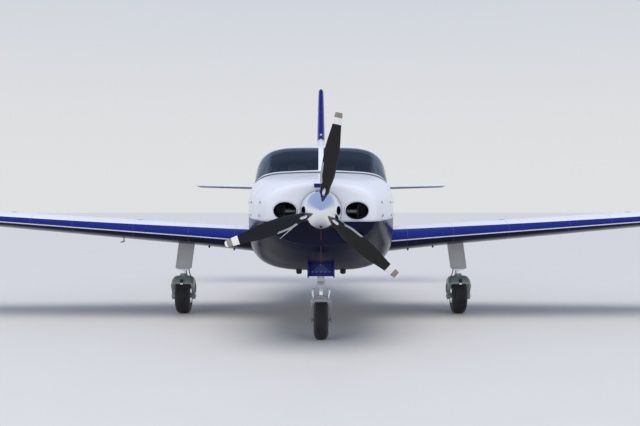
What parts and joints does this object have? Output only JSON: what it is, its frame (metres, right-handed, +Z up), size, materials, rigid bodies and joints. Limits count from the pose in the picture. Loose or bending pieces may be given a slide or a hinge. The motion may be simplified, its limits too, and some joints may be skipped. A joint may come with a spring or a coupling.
{
  "type": "single-engine light aircraft",
  "caption": "Low-wing, single-engine cabin aircraft on retractable tricycle gear, with a turning propeller, steered nose wheel, control surfaces and a split cabin door.",
  "frame": {"origin": "on the ground under the middle of the aircraft's box, parked on its wheels", "axes": "+X out along the port wing, +Y aft from nose to tail, +Z up"},
  "size_m": [12.4296, 8.6, 3.49],
  "materials": {
    "white_paint": "gloss white paint over aluminium skin",
    "blue_paint": "gloss royal blue paint over aluminium skin",
    "navy_paint": "gloss navy paint over aluminium skin",
    "polished_metal": "mirror polished",
    "black_blade": "satin black paint with white tips",
    "gear_steel": "satin steel with chromed sliding tube",
    "gear_grey": "grey enamel on cast metal",
    "wheel_metal": "satin cast wheel",
    "tyre_rubber": "matt black rubber",
    "window_glass": "clear tinted acrylic",
    "seat_leather": "soft grained leather",
    "panel_trim": "dull moulded trim",
    "carpet": "short pile carpet",
    "engine_metal": "bare castings",
    "exhaust_steel": "heat stained steel",
    "lamp_lens": "clear red lens"
  },
  "bodies": {
    "airframe": {"cabin_shell": "white_paint", "upper_cowl": "white_paint", "tail_cone": "white_paint", "tailplane": "white_paint", "roof_antenna": "white_paint", "wing_port": "white_paint", "wing_starboard": "white_paint", "fin": "blue_paint", "nose_gear_door_port": "blue_paint", "nose_gear_door_starboard": "blue_paint", "lower_cowl": "navy_paint", "nose_leg": "gear_steel", "pitot_mast": "gear_steel", "main_leg_port": "gear_grey", "main_leg_starboard": "gear_grey", "main_gear_door_port": "gear_grey", "main_gear_door_starboard": "gear_grey", "windshield_port": "window_glass", "windshield_starboard": "window_glass", "cockpit_window_port": "window_glass", "cockpit_window_starboard": "window_glass", "cabin_window_1_port": "window_glass", "cabin_window_1_starboard": "window_glass", "cabin_window_2_port": "window_glass", "cabin_window_2_starboard": "window_glass", "cabin_window_3_starboard": "window_glass", "crew_seats": "seat_leather", "passenger_seats": "seat_leather", "instrument_panel": "panel_trim", "cabin_floor": "carpet", "engine": "engine_metal", "exhaust_stubs": "exhaust_steel", "beacon": "lamp_lens"},
    "propeller": {"spinner": "polished_metal", "propeller_blade_1": "black_blade", "propeller_blade_2": "black_blade", "propeller_blade_3": "black_blade"},
    "nose_steering": {"nose_fork": "gear_steel"},
    "nose_wheel_set": {"nose_wheel": "wheel_metal", "nose_tyre": "tyre_rubber"},
    "main_wheel_set_port": {"main_wheel_port": "wheel_metal", "main_tyre_port": "tyre_rubber"},
    "main_wheel_set_starboard": {"main_wheel_starboard": "wheel_metal", "main_tyre_starboard": "tyre_rubber"},
    "aileron_port": {"aileron_port": "white_paint"},
    "aileron_starboard": {"aileron_starboard": "white_paint"},
    "flap_port": {"flap_port": "white_paint"},
    "flap_starboard": {"flap_starboard": "white_paint"},
    "elevator_port": {"elevator_port": "white_paint"},
    "elevator_starboard": {"elevator_starboard": "white_paint"},
    "rudder": {"rudder": "blue_paint"},
    "upper_door": {"upper_cabin_door": "white_paint", "door_window": "window_glass"},
    "lower_door": {"lower_cabin_door": "white_paint"}
  },
  "joints": [
    {"name": "propeller_spin", "type": "hinge", "parent": "airframe", "child": "propeller", "pos_m": [0, -4.05, 1.34], "axis": [0, 1, 0], "continuous": true},
    {"name": "nose_steer", "type": "hinge", "parent": "airframe", "child": "nose_steering", "pos_m": [0, -3.15, 0.47], "axis": [0, 0, 1], "range_deg": [-30, 30]},
    {"name": "nose_wheel_spin", "type": "hinge", "parent": "nose_steering", "child": "nose_wheel_set", "pos_m": [0, -3.11, 0.2], "axis": [1, 0, 0], "continuous": true},
    {"name": "main_wheel_port_spin", "type": "hinge", "parent": "airframe", "child": "main_wheel_set_port", "pos_m": [1.772, -0.85, 0.222], "axis": [1, 0, 0], "continuous": true},
    {"name": "main_wheel_starboard_spin", "type": "hinge", "parent": "airframe", "child": "main_wheel_set_starboard", "pos_m": [-1.772, -0.85, 0.222], "axis": [1, 0, 0], "continuous": true},
    {"name": "aileron_port_hinge", "type": "hinge", "parent": "airframe", "child": "aileron_port", "pos_m": [3.58251, -0.46044, 1.14103], "axis": [-0.9938, 0.0758, -0.0811], "range_deg": [-18, 18]},
    {"name": "aileron_starboard_hinge", "type": "hinge", "parent": "airframe", "child": "aileron_starboard", "pos_m": [-3.58251, -0.46044, 1.14103], "axis": [-0.9938, -0.0758, 0.0811], "range_deg": [-18, 18]},
    {"name": "flap_port_hinge", "type": "hinge", "parent": "airframe", "child": "flap_port", "pos_m": [1.08067, -0.29896, 0.93865], "axis": [-0.9939, 0.0742, -0.0814], "range_deg": [0, 36]},
    {"name": "flap_starboard_hinge", "type": "hinge", "parent": "airframe", "child": "flap_starboard", "pos_m": [-1.08067, -0.29896, 0.93865], "axis": [-0.9939, -0.0742, 0.0814], "range_deg": [0, 36]},
    {"name": "elevator_port_hinge", "type": "hinge", "parent": "airframe", "child": "elevator_port", "pos_m": [0.24493, 3.99, 1.69599], "axis": [0.9997, 0, 0.0244], "range_deg": [-12, 22]},
    {"name": "elevator_starboard_hinge", "type": "hinge", "parent": "airframe", "child": "elevator_starboard", "pos_m": [-0.24493, 3.99, 1.69599], "axis": [0.9997, 0, -0.0244], "range_deg": [-12, 22]},
    {"name": "rudder_hinge", "type": "hinge", "parent": "airframe", "child": "rudder", "pos_m": [0, 4.052, 1.56], "axis": [0, 0.0309, 0.9995], "range_deg": [-26, 26]},
    {"name": "upper_door_hinge", "type": "hinge", "parent": "airframe", "child": "upper_door", "pos_m": [0.68926, 0.7, 1.9935], "axis": [0, -1, 0], "range_deg": [0, 95]},
    {"name": "lower_door_hinge", "type": "hinge", "parent": "airframe", "child": "lower_door", "pos_m": [0.77638, 0.7, 0.9485], "axis": [0, 1, 0], "range_deg": [0, 120]}
  ],
  "couplings": [
    {"joint": "aileron_starboard_hinge", "follows": "aileron_port_hinge", "ratio": -1},
    {"joint": "flap_starboard_hinge", "follows": "flap_port_hinge", "ratio": 1},
    {"joint": "elevator_starboard_hinge", "follows": "elevator_port_hinge", "ratio": 1}
  ]
}
